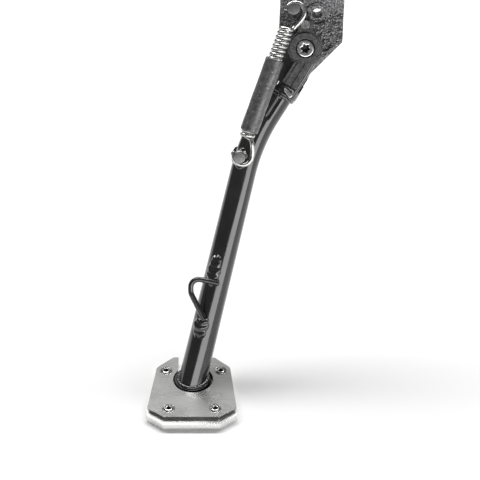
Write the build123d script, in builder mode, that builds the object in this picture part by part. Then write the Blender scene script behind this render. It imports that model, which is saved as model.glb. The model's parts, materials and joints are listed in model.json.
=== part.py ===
from build123d import *
import math
import os

# Motorcycle side stand: a bracket that bolts to the frame, a bent tapered leg that swings on a
# clevis pivot, a return spring, a rotary switch over the pivot and a bolt-on foot extension.
# The row frame is the ground frame: +X to the rear, +Y towards the motorcycle, +Z up.
# The origin is the middle of the two frame bolts on the bracket's mounting face.

# ---- overall sizes ----
pivot_height = 304.0        # pivot centre above the ground
splay = 28.0                # lean of the swing plane from the vertical
upper_lean = 32.4           # forward lean of the leg above its bend, in the swing plane
lower_lean = 13.6           # forward lean below the bend
bend_distance = 105.0       # pivot to the corner of the bend, along the upper leg
bend_radius = 190.0
leg_offset = 4.1            # leg axis to the pivot, towards the rear

# ---- tube ----
tube_radius = 12.9          # upper end and bend
foot_tube_radius = 14.3     # the tube grows to this at the foot
tube_wall = 3.0
flute_length = 26.0         # shallow press mark below the collar
flute_width = 4.4
flute_depth = 1.2
flute_start = 2.0           # below the collar
flute_side = 1.0            # behind the leg axis

# ---- fits ----
running_gap = 0.05          # radial, where one piece turns on another
seat_gap = 0.05             # where two pieces of one body meet
moving_gap = 0.3            # between faces that pass each other
bolt_gap = 0.15             # radial, bolt in a plain hole

# ---- clevis and pivot ----
tongue_thickness = 10.0
washer_thickness = 0.7
ear_thickness = 7.2
head_half_width = 15.2      # forging to each side of the leg axis
outer_ear_trim = 2.2        # the outer ear is this much narrower at the rear
eye_radius = 16.0           # round top of the ears, about the pivot
web_distance = 32.0         # pivot to the floor of the clevis slot
ear_edge_round = 3.0
collar_start = 40.0
collar_end = 50.0
collar_wall = 3.3
collar_chamfer = 1.2
socket_depth = 8.0
pivot_shank_radius = 6.0
bolt_head_radius = 8.5
bolt_head_height = 5.6
bolt_crown = 3.4            # rounding of the bolt head
bolt_recess_radius = 2.9
bolt_lobe_radius = 0.8
bolt_recess_depth = 2.8
bolt_end = 1.0              # thread past the nut
bush_wall = 2.0
washer_radius = 13.0
nut_across_flats = 17.0
nut_height = 8.5
washer_play = 0.05

# ---- switch ----
switch_base_radius = 17.0
switch_base_thickness = 2.6
switch_arm_radius = 15.0
switch_arm_thickness = 3.0
switch_arm_length = 38.5
switch_arm_width = 15.3
switch_arm_shift = 1.65     # arm centre line behind the leg axis
switch_eye_radius = 9.3
switch_tab_width = 14.0
switch_tab_reach = 27.0     # pivot to the top of the tab
switch_tab_foot = 8.0
switch_rib_width = 5.5
switch_rib_height = 0.6
switch_rib_margin = 1.5
tab_screw_radius = 2.4
tab_screw_head_radius = 4.2
tab_screw_head_height = 2.4
tab_screw_recess_radius = 1.9
tab_screw_recess_depth = 1.2
gland_radius = 3.5
gland_length = 8.0
gland_taper = 3.0
gland_floor = 1.6           # closed end of the cable hole, measured on the hole's line
cable_hole_radius = 1.8
key_length = 10.6           # oblong key that locates the arm on the collar
key_width = 4.6
key_height = 2.4
key_round = 0.8
key_rim = 0.9
key_turn = -52.0
key_side = 4.9              # key behind the leg axis
key_reach = 44.9            # pivot to the key, down the leg
key_sink = 2.2              # floor of its pocket below the collar's crown

# ---- spring ----
spring_clearance = 0.7      # sleeve above the switch arm's rib
lower_post_u = -63.9        # in the swing plane, from the pivot
lower_post_v = -104.3
spring_lean = 20.05         # spring's lean with the stand down
fold_angle = 98.0
wire_radius = 2.0
coil_radius = 5.5           # to the middle of the wire
coil_gap = 0.35             # between neighbouring coils
hook_radius = 9.0
hook_side = 2.6             # hook's centre to the rear of the coil's centre line
hook_reach = 19.5           # post to the first full coil
hook_tip = 1.0              # where the hook's end stops, past its centre
hook_lead = 2.0             # where the hook turns in to the coil, past its centre
post_neck_radius = 3.2
post_head_radius = 5.65
post_head_height = 3.0
post_head_chamfer = 0.5
post_base_radius = 5.4
post_flare = 2.7            # height of the cone from base to neck
lower_post_foot = 4.3       # levels of the lower post's shank in the tube
upper_post_foot = -1.0      # level of the upper post's shank in the bracket
post_base_stand = 0.35      # its base stands this far out of the pad
sleeve_wall = 1.2
sleeve_start = 26.6         # from the lower post, along the spring
sleeve_length = 74.0
sleeve_gap = 0.4            # radial, coil in the sleeve

# ---- kick loop ----
loop_wire_radius = 2.75
loop_stand = 2.9            # wire's middle above the tube
loop_points = ((-84.5, -230.8), (-112.2, -224.9), (-112.2, -240.5), (-98.8, -267.6))
loop_bends = (8.0, 13.0)

# ---- welds ----
collar_weld_size = 2.4
collar_weld_toe = 0.6
foot_weld_size = 1.4
foot_weld_height = 2.2
bead_shape = ((0.0, 1.0), (0.6, 0.82), (1.0, 0.45))     # share of height, share of outline
bead_sink = 4.5             # beads start this far inside the tube
upper_bead_place = (-89.0, -217.0)
upper_bead_length = 31.0
upper_bead_width = 13.0
upper_bead_height = 6.0
lower_bead_place = (-102.4, -275.0)
lower_bead_length = 25.0
lower_bead_width = 15.0
lower_bead_height = 8.0
post_weld_foot = 4.0        # levels of the fillet round the lower post
post_weld_drop = 1.0
post_weld_spread = 2.2
post_weld_lip = 0.3

# ---- bracket ----
boss_u = 24.2
boss_v = 16.1
boss_radius = 9.7
boss_height = 0.5
corner_u = 36.9             # lower rear corner of the bracket, from the pivot
corner_v = 6.1
toe_angle = -92.7           # where the sloping edge meets the tongue's round nose
front_u = -26.0             # front edge of the tongue at the pivot
front_top_u = -24.0         # and where it meets the pad
corner_top_u = 37.9         # rear edge where it meets the pad
tongue_top = 44.0
nose_flat = 10.5            # flat of the stop at the tongue's front
pad_width = 62.0
pad_height = 64.0
pad_thickness = 12.0
pad_corner = 8.0
pad_bottom = 22.0           # pad's lower edge above the pivot
mount_x = 12.0              # frame bolts from the pivot
mount_z = 52.0
gland_clearance = 3.0       # cable gland to the frame bolt's boss
mount_spacing = 38.0
mount_hole_radius = 5.3
mount_boss_radius = 11.0
mount_boss_height = 2.0
spot_face_radius = 10.0
edge_chamfer = 3.0
pocket_u = 21.2             # shallow cast pocket below the boss
pocket_v = 1.4
pocket_half_length = 5.5
pocket_half_width = 2.6
pocket_turn = 38.0
pocket_depth = 1.8

# ---- foot ----
base_thickness = 8.0
cover_thickness = 4.0
pocket_floor = 3.0
foot_thickness = 4.9
rear_half_width = 21.0
shoulder_half_width = 37.4
wide_half_width = 44.9
front_half_width = 27.4
rear_reach = 31.5           # foot centre to the rear edge
shoulder_reach = 16.0
wide_reach = 51.0           # foot centre forward to the widest place
front_reach = 64.5
cover_wide_half_width = 44.3
cover_wide_reach = 45.0
cover_front_reach = 57.3
plate_corner = 4.0
shoulder_corner = 7.0
keyhole_radius = 20.2
keyhole_offset = 1.9
keyhole_half_width = 15.8
foot_half_width = 21.0
foot_rear = 14.0
foot_front = 34.0
foot_corner = 12.0
foot_gap = 0.4
boss_ring_radius = 18.6
boss_ring_height = 4.4
boss_ring_taper = 8.0
boss_ring_shift_x = -0.6
boss_ring_shift_y = -1.4
screw_rear_x = 27.8
screw_rear_y = 10.6
screw_front_x = 23.0
screw_front_y = -45.5
screw_radius = 3.0
screw_head_radius = 6.2
screw_dome = 0.7
screw_dome_taper = 50.0
screw_socket_width = 4.0
screw_socket_depth = 2.2
screw_length = 9.5
screw_hole_floor = 2.0      # metal left under the screw holes
tip_room = 1.0              # hole past the end of the tab screw
countersink_angle = 90.0
blank_margin = 1.0          # how far a cutting body runs past what it cuts


os.makedirs("parts", exist_ok=True)


def write(builder, label):
    builder.part.label = label
    export_step(builder.part, f"parts/{label}.step")


def polar(radius, angle):
    turn = math.radians(angle)
    return (radius * math.cos(turn), radius * math.sin(turn))


def turned(plane, angle):
    """A plane turned in itself, anticlockwise seen from its outer side."""
    across, up = polar(1, angle)
    return Plane(origin=plane.origin, x_dir=plane.x_dir * across + plane.y_dir * up, z_dir=plane.z_dir)


# ---- levels across the swing plane ----
tongue_face = tongue_thickness / 2
ear_inside = tongue_face + washer_thickness + 2 * washer_play
ear_outside = ear_inside + ear_thickness
base_bottom = ear_outside + moving_gap
base_top = base_bottom + switch_base_thickness
arm_bottom = base_top + moving_gap
arm_top = arm_bottom + switch_arm_thickness
gland_level = (tongue_face + base_top) / 2
collar_radius = tube_radius + collar_wall
sleeve_radius = coil_radius + wire_radius + sleeve_gap
spring_level = arm_top + switch_rib_height + spring_clearance + sleeve_radius + sleeve_wall

# ---- planes ----
lean = math.radians(splay)
gland_run = (switch_tab_reach + seat_gap) * math.sin(lean) - gland_level * math.cos(lean)
mount_y = pad_thickness + mount_boss_height + gland_clearance + gland_radius + gland_run
outward = Vector(0, -math.cos(lean), math.sin(lean))
pivot = Vector(-mount_x, -mount_y, -mount_z)
ground = pivot.Z - pivot_height
swing = Plane(origin=pivot, x_dir=(1, 0, 0), z_dir=outward)
head = turned(swing, -upper_lean)
shin = turned(swing, -lower_lean)
mount_face = Plane(origin=(0, 0, 0), x_dir=(1, 0, 0), z_dir=(0, -1, 0))

# ---- leg line in the swing plane ----
bend_turn = upper_lean - lower_lean
bend_tangent = bend_radius * math.tan(math.radians(bend_turn / 2))
tube_top = head.from_local_coords((leg_offset, -(collar_end - socket_depth + seat_gap), 0))
bend_corner = head.from_local_coords((leg_offset, -bend_distance, 0))
bend_start = head.from_local_coords((leg_offset, -(bend_distance - bend_tangent), 0))
bend_end = bend_corner - shin.y_dir * bend_tangent
cover_top = ground + base_thickness + cover_thickness
foot_top = ground + pocket_floor + foot_thickness
leg_reach = (bend_corner.Z - cover_top) / shin.y_dir.Z
foot_centre = bend_corner - shin.y_dir * leg_reach
leg_tip = foot_centre - shin.y_dir * (foot_tube_radius * 2)
taper_length = (bend_end - foot_centre).length
taper = (foot_tube_radius - tube_radius) / taper_length
tip_length = (bend_end - leg_tip).length

# ---- spring line in the swing plane ----
# The upper post is where the hooked length is the same with the stand down and folded.
post_distance = math.hypot(lower_post_u, lower_post_v)
post_angle = math.degrees(math.atan2(lower_post_v, lower_post_u))
middle_u, middle_v = polar(1, post_angle + fold_angle / 2 + 180)
run_u, run_v = math.sin(math.radians(spring_lean)), math.cos(math.radians(spring_lean))
upper_distance = (lower_post_u * run_v - lower_post_v * run_u) / (middle_u * run_v - middle_v * run_u)
upper_post_u, upper_post_v = middle_u * upper_distance, middle_v * upper_distance
spring_length = math.hypot(upper_post_u - lower_post_u, upper_post_v - lower_post_v)
spring_plane = Plane(
    origin=swing.from_local_coords((lower_post_u, lower_post_v, spring_level)),
    x_dir=turned(swing, -spring_lean).x_dir,
    z_dir=outward,
)
spring_axis = Plane(origin=spring_plane.origin, x_dir=spring_plane.x_dir, z_dir=spring_plane.y_dir)
post_far_v = upper_post_v + post_base_radius
pad_level = (post_far_v * math.sin(lean) + pad_thickness - mount_y) / math.cos(lean)
upper_post_base = pad_level + post_base_stand


bend_inside = (head.y_dir - shin.y_dir).normalized()
bend_middle = bend_corner + bend_inside * (bend_radius / math.cos(math.radians(bend_turn / 2)) - bend_radius)


def tube_blank(radius, start_extra=0.0):
    """The leg's line filled to a radius: an upper run and bend, then the taper to the foot."""
    top = tube_top + head.y_dir * start_extra
    with BuildLine() as line:
        Line(top, bend_start)
        ThreePointArc(bend_start, bend_middle, bend_end)
    with BuildPart() as blank:
        with BuildSketch(Plane(origin=top, x_dir=head.x_dir, z_dir=-head.y_dir)):
            Circle(radius)
        sweep(path=line.wires()[0])
        with BuildSketch(Plane(origin=bend_end, x_dir=shin.x_dir, z_dir=-shin.y_dir)):
            Circle(radius)
        with BuildSketch(Plane(origin=leg_tip, x_dir=shin.x_dir, z_dir=-shin.y_dir)):
            Circle(radius + taper * tip_length)
        loft(ruled=True)
    return blank.part


def bead(plane, length, width, height):
    """A raised oval of weld metal on a plane, its long side along the plane's Y."""
    with BuildPart() as lump:
        for rise, share in bead_shape:
            with BuildSketch(plane.offset(height * rise)):
                Ellipse(width / 2 * share, length / 2 * share)
        loft(ruled=True)
    return lump.part


tube_outside = tube_blank(tube_radius + seat_gap, start_extra=blank_margin)
tube_inside = tube_blank(tube_radius - tube_wall, start_extra=blank_margin)


def at_leg(across, along, level):
    """A point by its place in the upper leg's own plane, along measured down the leg."""
    return head.from_local_coords((across, -along, level))


def tube_level(place):
    """The level of the lower tube's crown at a place in the swing plane."""
    along = (bend_end - swing.from_local_coords((*place, 0))).dot(shin.y_dir)
    return tube_radius + taper * along


# ---- leg tube ----
with BuildPart() as leg_tube:
    add(tube_blank(tube_radius))
    add(tube_inside, mode=Mode.SUBTRACT)
    split(bisect_by=Plane.XY.offset(foot_top + seat_gap), keep=Keep.TOP)
    with BuildSketch(head.offset(tube_radius - flute_depth)):
        with Locations((leg_offset + flute_side, -(collar_end + flute_start + flute_length / 2))):
            SlotOverall(flute_length, flute_width, rotation=90)
    extrude(amount=tube_radius, mode=Mode.SUBTRACT)
write(leg_tube, "leg_tube")

# ---- leg head: a forged clevis with a socket for the tube ----
key_level = collar_radius - key_sink
ear_width = 2 * head_half_width
outer_ear_width = ear_width - outer_ear_trim
with BuildPart() as leg_head:
    with BuildSketch(head.offset(ear_inside - moving_gap)):
        Circle(eye_radius)
        with Locations((leg_offset - outer_ear_trim / 2, -(web_distance + collar_start) / 2)):
            Rectangle(outer_ear_width, collar_start - web_distance + ear_width / 2)
        make_hull()
    extrude(amount=ear_thickness + moving_gap)
    outer_face = faces().sort_by(Axis(pivot, outward))[-1]
    fillet(outer_face.edges(), radius=ear_edge_round)
    with BuildSketch(head.offset(-ear_outside)):
        Circle(eye_radius)
        with Locations((leg_offset, -(web_distance + collar_start) / 2)):
            Rectangle(ear_width, collar_start - web_distance + ear_width / 2)
        make_hull()
    extrude(amount=ear_outside + ear_inside - moving_gap)
    with BuildSketch(Plane(origin=at_leg(leg_offset, collar_start, 0), x_dir=head.x_dir, z_dir=-head.y_dir)):
        Circle(collar_radius)
    extrude(amount=collar_end - collar_start)
    collar_rim = faces().sort_by(Axis(pivot, -head.y_dir))[-1]
    chamfer(collar_rim.edges().sort_by(SortBy.RADIUS)[-1], length=collar_chamfer)
    with BuildSketch(head.offset(-ear_inside)):
        with Locations((leg_offset, (eye_radius * 2 - web_distance) / 2)):
            Rectangle(ear_width * 2, eye_radius * 2 + web_distance)
    extrude(amount=2 * ear_inside, mode=Mode.SUBTRACT)
    with BuildSketch(head.offset(-ear_outside)):
        Circle(pivot_shank_radius + bolt_gap)
    extrude(amount=2 * ear_outside, mode=Mode.SUBTRACT)
    with BuildSketch(Plane(origin=at_leg(leg_offset, collar_end, 0), x_dir=head.x_dir, z_dir=head.y_dir)):
        Circle(tube_radius + seat_gap)
    extrude(amount=socket_depth, mode=Mode.SUBTRACT)
    with BuildSketch(swing.offset(key_level)):
        with Locations(Location(swing.to_local_coords(at_leg(leg_offset + key_side, key_reach, 0)))):
            SlotOverall(key_length + 2 * key_rim, key_width + 2 * key_rim, rotation=key_turn)
    extrude(amount=collar_radius, mode=Mode.SUBTRACT)
write(leg_head, "leg_head")

# ---- pivot: shoulder bolt and nut clamp the ears, the bush and washers stay with the bracket ----
with BuildPart() as pivot_bolt:
    with BuildSketch(swing.offset(ear_outside)):
        Circle(bolt_head_radius)
    extrude(amount=bolt_head_height)
    bolt_dome = faces().sort_by(Axis(pivot, outward))[-1]
    fillet(bolt_dome.edges(), radius=bolt_crown)
    with BuildSketch(swing.offset(ear_outside)):
        Circle(pivot_shank_radius)
    extrude(amount=-(2 * ear_outside + nut_height + bolt_end))
    with BuildSketch(swing.offset(ear_outside + bolt_head_height)):
        Circle(bolt_recess_radius)
        with PolarLocations(bolt_recess_radius, 6):
            Circle(bolt_lobe_radius)
    extrude(amount=-bolt_recess_depth, mode=Mode.SUBTRACT)
write(pivot_bolt, "pivot_bolt")

with BuildPart() as pivot_nut:
    with BuildSketch(swing.offset(-ear_outside)):
        RegularPolygon(nut_across_flats / 2, 6, major_radius=False)
        Circle(pivot_shank_radius + seat_gap, mode=Mode.SUBTRACT)
    extrude(amount=-nut_height)
write(pivot_nut, "pivot_nut")

bush_radius = pivot_shank_radius + running_gap + bush_wall
with BuildPart() as pivot_bush:
    with BuildSketch(swing.offset(-tongue_face)):
        Circle(bush_radius)
        Circle(pivot_shank_radius + running_gap, mode=Mode.SUBTRACT)
    extrude(amount=tongue_thickness)
write(pivot_bush, "pivot_bush")

with BuildPart() as thrust_washers:
    for side in (1, -1):
        with BuildSketch(swing.offset(side * (tongue_face + washer_play))):
            Circle(washer_radius)
            Circle(pivot_shank_radius + running_gap, mode=Mode.SUBTRACT)
        extrude(amount=side * washer_thickness)
write(thrust_washers, "thrust_washers")

# ---- switch: a ring held by its tab on the bracket, and an arm that turns with the leg ----
with BuildPart() as switch_base:
    with BuildSketch(swing.offset(base_bottom)):
        Circle(switch_base_radius)
        with Locations((0, switch_tab_reach / 2)):
            Rectangle(switch_tab_width, switch_tab_reach)
        Circle(switch_eye_radius, mode=Mode.SUBTRACT)
    extrude(amount=switch_base_thickness)
    with BuildSketch(swing.offset(tongue_face + seat_gap)):
        with Locations((0, switch_tab_reach - switch_tab_foot / 2)):
            Rectangle(switch_tab_width, switch_tab_foot)
    extrude(amount=base_top - tongue_face - seat_gap)
    with BuildSketch(swing.offset(tongue_face)):
        with Locations((0, switch_tab_reach - switch_tab_foot / 2)):
            Circle(tab_screw_radius + bolt_gap)
    extrude(amount=base_top, mode=Mode.SUBTRACT)
write(switch_base, "switch_base")

gland_foot = swing.from_local_coords((0, switch_tab_reach + seat_gap, gland_level))
gland_base = Plane(origin=gland_foot - Vector(0, 0, gland_radius), x_dir=(1, 0, 0), z_dir=(0, 0, 1))
with BuildPart() as cable_gland:
    with BuildSketch(gland_base):
        Circle(gland_radius)
    extrude(amount=gland_radius + gland_length, taper=gland_taper)
    with BuildSketch(gland_base.offset(gland_radius + gland_floor)):
        Circle(cable_hole_radius)
    extrude(amount=gland_length - gland_floor, mode=Mode.SUBTRACT)
    split(bisect_by=Plane(origin=gland_foot, z_dir=swing.y_dir), keep=Keep.TOP)
write(cable_gland, "cable_gland")

with BuildPart() as tab_screw:
    with Locations(Location(swing.offset(base_top + seat_gap))):
        with Locations((0, switch_tab_reach - switch_tab_foot / 2, 0)):
            Cylinder(tab_screw_head_radius, tab_screw_head_height,
                     align=(Align.CENTER, Align.CENTER, Align.MIN))
            Cylinder(tab_screw_radius, base_top, align=(Align.CENTER, Align.CENTER, Align.MAX))
            with Locations((0, 0, tab_screw_head_height)):
                Cylinder(tab_screw_recess_radius, tab_screw_recess_depth,
                         align=(Align.CENTER, Align.CENTER, Align.MAX), mode=Mode.SUBTRACT)
write(tab_screw, "tab_screw")

arm_middle = leg_offset + switch_arm_shift
arm_drop = switch_base_radius + 2 * moving_gap
rib_start = switch_eye_radius + 2 * switch_rib_margin
rib_end = switch_arm_length - switch_rib_margin
rib_middle = arm_middle + (switch_arm_width - switch_rib_width) / 2 - switch_rib_margin
with BuildPart() as switch_arm:
    with BuildSketch(head.offset(arm_bottom)):
        Circle(switch_arm_radius)
        with Locations((arm_middle, -switch_arm_length / 2)):
            Rectangle(switch_arm_width, switch_arm_length)
        Circle(switch_eye_radius, mode=Mode.SUBTRACT)
    extrude(amount=switch_arm_thickness)
    with BuildSketch(head.offset(ear_outside + seat_gap)):
        with Locations((arm_middle, -(switch_arm_length + arm_drop) / 2)):
            Rectangle(switch_arm_width, switch_arm_length - arm_drop)
    extrude(amount=arm_top - ear_outside - seat_gap)
    with BuildSketch(head.offset(arm_top - seat_gap)):
        with Locations((rib_middle, -(rib_start + rib_end) / 2)):
            Rectangle(switch_rib_width, rib_end - rib_start)
    extrude(amount=switch_rib_height)
write(switch_arm, "switch_arm")

key_plane = Plane(
    origin=at_leg(leg_offset + key_side, key_reach, key_level),
    x_dir=turned(swing, key_turn).x_dir,
    z_dir=outward,
)
with BuildPart() as switch_key:
    with BuildSketch(key_plane.offset(seat_gap)):
        SlotOverall(key_length, key_width)
    extrude(amount=key_height)
    fillet(faces().sort_by(Axis(pivot, outward))[-1].edges(), radius=key_round)
write(switch_key, "switch_key")

# ---- spring, its sleeve and posts ----
post_head_level = spring_level + wire_radius + 2 * moving_gap


def post(u, v, foot_level, base_level):
    """A headed post standing on the swing plane: a flared foot, a neck and a flat head."""
    foot = swing.from_local_coords((u, v, foot_level))
    with BuildPart() as pin:
        with BuildSketch(Plane(origin=foot, x_dir=(1, 0, 0), z_dir=outward)):
            Circle(post_base_radius)
        extrude(amount=base_level - foot_level)
        with BuildSketch(swing.offset(base_level)):
            with Locations((u, v)):
                Circle(post_base_radius)
        with BuildSketch(swing.offset(base_level + post_flare)):
            with Locations((u, v)):
                Circle(post_neck_radius)
        loft(ruled=True)
        with BuildSketch(swing.offset(base_level)):
            with Locations((u, v)):
                Circle(post_neck_radius)
        extrude(amount=post_head_level - base_level)
        with BuildSketch(swing.offset(post_head_level)):
            with Locations((u, v)):
                Circle(post_head_radius)
        extrude(amount=post_head_height)
        chamfer(faces().sort_by(Axis(pivot, outward))[-1].edges(), length=post_head_chamfer)
    return pin


lower_post_pin = post(lower_post_u, lower_post_v, lower_post_foot, tube_radius)
with BuildPart() as lower_spring_post:
    add(lower_post_pin.part)
    add(tube_outside, mode=Mode.SUBTRACT)
write(lower_spring_post, "lower_spring_post")

upper_post_pin = post(upper_post_u, upper_post_v, upper_post_foot, upper_post_base)
with BuildPart() as upper_spring_post:
    add(upper_post_pin.part)
write(upper_spring_post, "upper_spring_post")

# The hooked wire: a loop round each post, a lead in to the coil, and a helix between.
coil_length = spring_length - 2 * hook_reach
coil_turns = round(coil_length / (2 * wire_radius + coil_gap))
hook_play = hook_radius - wire_radius - post_neck_radius - moving_gap
hook_centre = math.sqrt(hook_play**2 - hook_side**2)
far_centre = spring_length - hook_centre
with BuildLine() as wire_line:
    near_tip = ThreePointArc((hook_side - hook_radius, 0, hook_centre + hook_tip),
                             (hook_side, 0, hook_centre - hook_radius),
                             (hook_side + hook_radius, 0, hook_centre + hook_lead))
    coil = Helix(coil_length / coil_turns, coil_length, coil_radius, center=(0, 0, hook_reach))
    Spline(near_tip @ 1, coil @ 0, tangents=(near_tip % 1, coil % 0))
    far_tip = ThreePointArc((hook_side + hook_radius, 0, far_centre - hook_lead),
                            (hook_side, 0, far_centre + hook_radius),
                            (hook_side - hook_radius, 0, far_centre - hook_tip))
    Spline(coil @ 1, far_tip @ 0, tangents=(coil % 1, far_tip % 0))
wire_path = wire_line.wires()[0].moved(spring_axis.location)
with BuildPart() as return_spring:
    with BuildSketch(Plane(origin=wire_path @ 0, z_dir=wire_path % 0)):
        Circle(wire_radius)
    sweep(path=wire_path)
write(return_spring, "return_spring")

with BuildPart() as spring_sleeve:
    with BuildSketch(spring_axis.offset(sleeve_start)):
        Circle(sleeve_radius + sleeve_wall)
        Circle(sleeve_radius, mode=Mode.SUBTRACT)
    extrude(amount=sleeve_length)
write(spring_sleeve, "spring_sleeve")
print("spring length", round(spring_length, 2), "upper post", round(upper_post_u, 2), round(upper_post_v, 2))

# ---- kick loop, a bent wire welded on the front of the tube ----
with BuildPart() as kick_loop:
    with BuildLine(swing.offset(tube_level(loop_points[0]) + loop_stand)) as loop_line:
        FilletPolyline(*loop_points, radius=loop_bends)
    loop_path = loop_line.wires()[0]
    with BuildSketch(Plane(origin=loop_path @ 0, z_dir=loop_path % 0)):
        Circle(loop_wire_radius)
    sweep(path=loop_path)
    add(tube_outside, mode=Mode.SUBTRACT)
write(kick_loop, "kick_loop")


# ---- welds ----
with BuildPart() as collar_weld:
    with BuildSketch(Plane(origin=at_leg(leg_offset, collar_end + seat_gap, 0), x_dir=head.x_dir,
                           z_dir=-head.y_dir)):
        Circle(tube_radius + collar_weld_size)
    with BuildSketch(Plane(origin=at_leg(leg_offset, collar_end + collar_weld_size, 0),
                           x_dir=head.x_dir, z_dir=-head.y_dir)):
        Circle(tube_radius + collar_weld_toe)
    loft(ruled=True)
    add(tube_outside, mode=Mode.SUBTRACT)
write(collar_weld, "collar_weld")



def bead_plane(place):
    """The plane of a bead on the tube, from its place in the swing plane."""
    spot = swing.from_local_coords((*place, tube_level(place) - bead_sink))
    return Plane(origin=spot, x_dir=shin.x_dir, z_dir=outward)


upper_bead = bead(bead_plane(upper_bead_place), upper_bead_length, upper_bead_width, upper_bead_height)
lower_bead = bead(bead_plane(lower_bead_place), lower_bead_length, lower_bead_width, lower_bead_height)
with BuildPart() as loop_welds:
    add(upper_bead)
    add(lower_bead)
    add(tube_outside, mode=Mode.SUBTRACT)
    add(kick_loop.part, mode=Mode.SUBTRACT)
write(loop_welds, "loop_welds")

with BuildPart() as post_weld:
    with BuildSketch(swing.offset(post_weld_foot)):
        with Locations((lower_post_u, lower_post_v)):
            Circle(post_base_radius + post_weld_spread)
    with BuildSketch(swing.offset(tube_radius - post_weld_drop)):
        with Locations((lower_post_u, lower_post_v)):
            Circle(post_base_radius + post_weld_lip)
    loft(ruled=True)
    with BuildSketch(swing):
        with Locations((lower_post_u, lower_post_v)):
            Circle(post_base_radius + seat_gap)
    extrude(amount=2 * tube_radius, mode=Mode.SUBTRACT)
    add(tube_outside, mode=Mode.SUBTRACT)
write(post_weld, "post_weld")

# ---- frame bracket ----
nose_radius = web_distance - moving_gap
stop_corner = swing.to_local_coords(at_leg(-nose_flat, nose_radius, 0))
stop_end = swing.to_local_coords(at_leg(0, nose_radius, 0))
toe = polar(nose_radius, toe_angle)
nose_middle = polar(nose_radius, (toe_angle - 90 - upper_lean) / 2)
pad_place = (corner_top_u - pad_width / 2 - mount_x, pad_bottom + pad_height / 2 - mount_z)
with BuildPart() as frame_bracket:
    with BuildSketch(swing.offset(-tongue_face)):
        with BuildLine():
            Polyline((stop_end.X, stop_end.Y), (stop_corner.X, stop_corner.Y), (front_u, 0),
                     (front_top_u, tongue_top), (corner_top_u, tongue_top), (corner_u, corner_v), toe)
            ThreePointArc(toe, nose_middle, (stop_end.X, stop_end.Y))
        make_face()
    extrude(amount=tongue_thickness)
    sloping_edge = swing.from_local_coords(((toe[0] + corner_u) / 2, (toe[1] + corner_v) / 2, tongue_face))
    chamfer(edges().sort_by_distance(sloping_edge)[0], length=edge_chamfer)
    with BuildSketch(swing.offset(tongue_face)):
        with Locations((boss_u, boss_v)):
            Circle(boss_radius)
    extrude(amount=boss_height)
    with BuildSketch(swing.offset(tongue_face)):
        with Locations((pocket_u, pocket_v)):
            Ellipse(pocket_half_length, pocket_half_width, rotation=pocket_turn)
    extrude(amount=-pocket_depth, mode=Mode.SUBTRACT)
    with BuildSketch(mount_face):
        with Locations(pad_place):
            RectangleRounded(pad_width, pad_height, pad_corner)
    extrude(amount=pad_thickness)
    with BuildSketch(mount_face.offset(pad_thickness + mount_boss_height)):
        with GridLocations(0, mount_spacing, 1, 2):
            Circle(mount_boss_radius)
    extrude(amount=-mount_boss_height)
    with BuildSketch(mount_face.offset(pad_thickness + mount_boss_height)):
        with GridLocations(0, mount_spacing, 1, 2):
            Circle(spot_face_radius)
    extrude(amount=pad_thickness, mode=Mode.SUBTRACT)
    with BuildSketch(mount_face):
        with GridLocations(0, mount_spacing, 1, 2):
            Circle(mount_hole_radius)
    extrude(amount=pad_thickness * 2, mode=Mode.SUBTRACT)
    with BuildSketch(swing.offset(-2 * tongue_thickness)):
        Circle(bush_radius + seat_gap)
    extrude(amount=4 * tongue_thickness, mode=Mode.SUBTRACT)
    with BuildSketch(swing.offset(upper_post_foot - seat_gap)):
        with Locations((upper_post_u, upper_post_v)):
            Circle(post_base_radius + seat_gap)
    extrude(amount=upper_post_base - upper_post_foot, mode=Mode.SUBTRACT)
    with BuildSketch(swing.offset(tongue_face)):
        with Locations((0, switch_tab_reach - switch_tab_foot / 2)):
            Circle(tab_screw_radius + seat_gap)
    extrude(amount=-(tongue_face + tip_room), mode=Mode.SUBTRACT)
write(frame_bracket, "frame_bracket")

# ---- foot: the stand's own foot clamped between a base and a cover plate ----
foot_plane = Plane(origin=(foot_centre.X, foot_centre.Y, ground))


def plate_sketch(plane, half_outline, height):
    """A plate outline that is symmetric about the foot's Y, its shoulders rounded."""
    mirrored = [(-x, y) for x, y in reversed(half_outline)]
    with BuildPart() as plate:
        with BuildSketch(plane) as face:
            with BuildLine():
                Polyline(*half_outline, *mirrored, close=True)
            make_face()
            shoulders = face.vertices().group_by(Axis.Y)[-2]
            fillet(shoulders, radius=shoulder_corner)
            others = face.vertices().filter_by(lambda corner: corner.Y < 0)
            fillet(others, radius=plate_corner)
        extrude(amount=height)
    return plate.part


base_outline = [(rear_half_width, rear_reach), (shoulder_half_width, shoulder_reach),
                (wide_half_width, -wide_reach), (front_half_width, -front_reach)]
cover_outline = [(rear_half_width, rear_reach), (shoulder_half_width, shoulder_reach),
                 (cover_wide_half_width, -cover_wide_reach), (front_half_width, -cover_front_reach)]
screw_places = [(screw_rear_x, screw_rear_y), (-screw_rear_x, screw_rear_y),
                (screw_front_x, screw_front_y), (-screw_front_x, screw_front_y)]
foot_middle = (foot_rear - foot_front) / 2
foot_size = foot_rear + foot_front

base_blank = plate_sketch(foot_plane, base_outline, base_thickness)
with BuildPart() as foot_base_plate:
    add(base_blank)
    with BuildSketch(foot_plane.offset(pocket_floor)):
        with Locations((0, foot_middle)):
            RectangleRounded(2 * (foot_half_width + foot_gap), foot_size + 2 * foot_gap, foot_corner)
        with Locations((0, rear_reach)):
            Rectangle(2 * keyhole_half_width, 2 * rear_reach)
    extrude(amount=base_thickness, mode=Mode.SUBTRACT)
    with BuildSketch(foot_plane.offset(base_thickness)):
        with Locations(*screw_places):
            Circle(screw_radius + seat_gap)
    extrude(amount=screw_hole_floor - base_thickness, mode=Mode.SUBTRACT)
write(foot_base_plate, "foot_base_plate")

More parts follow.
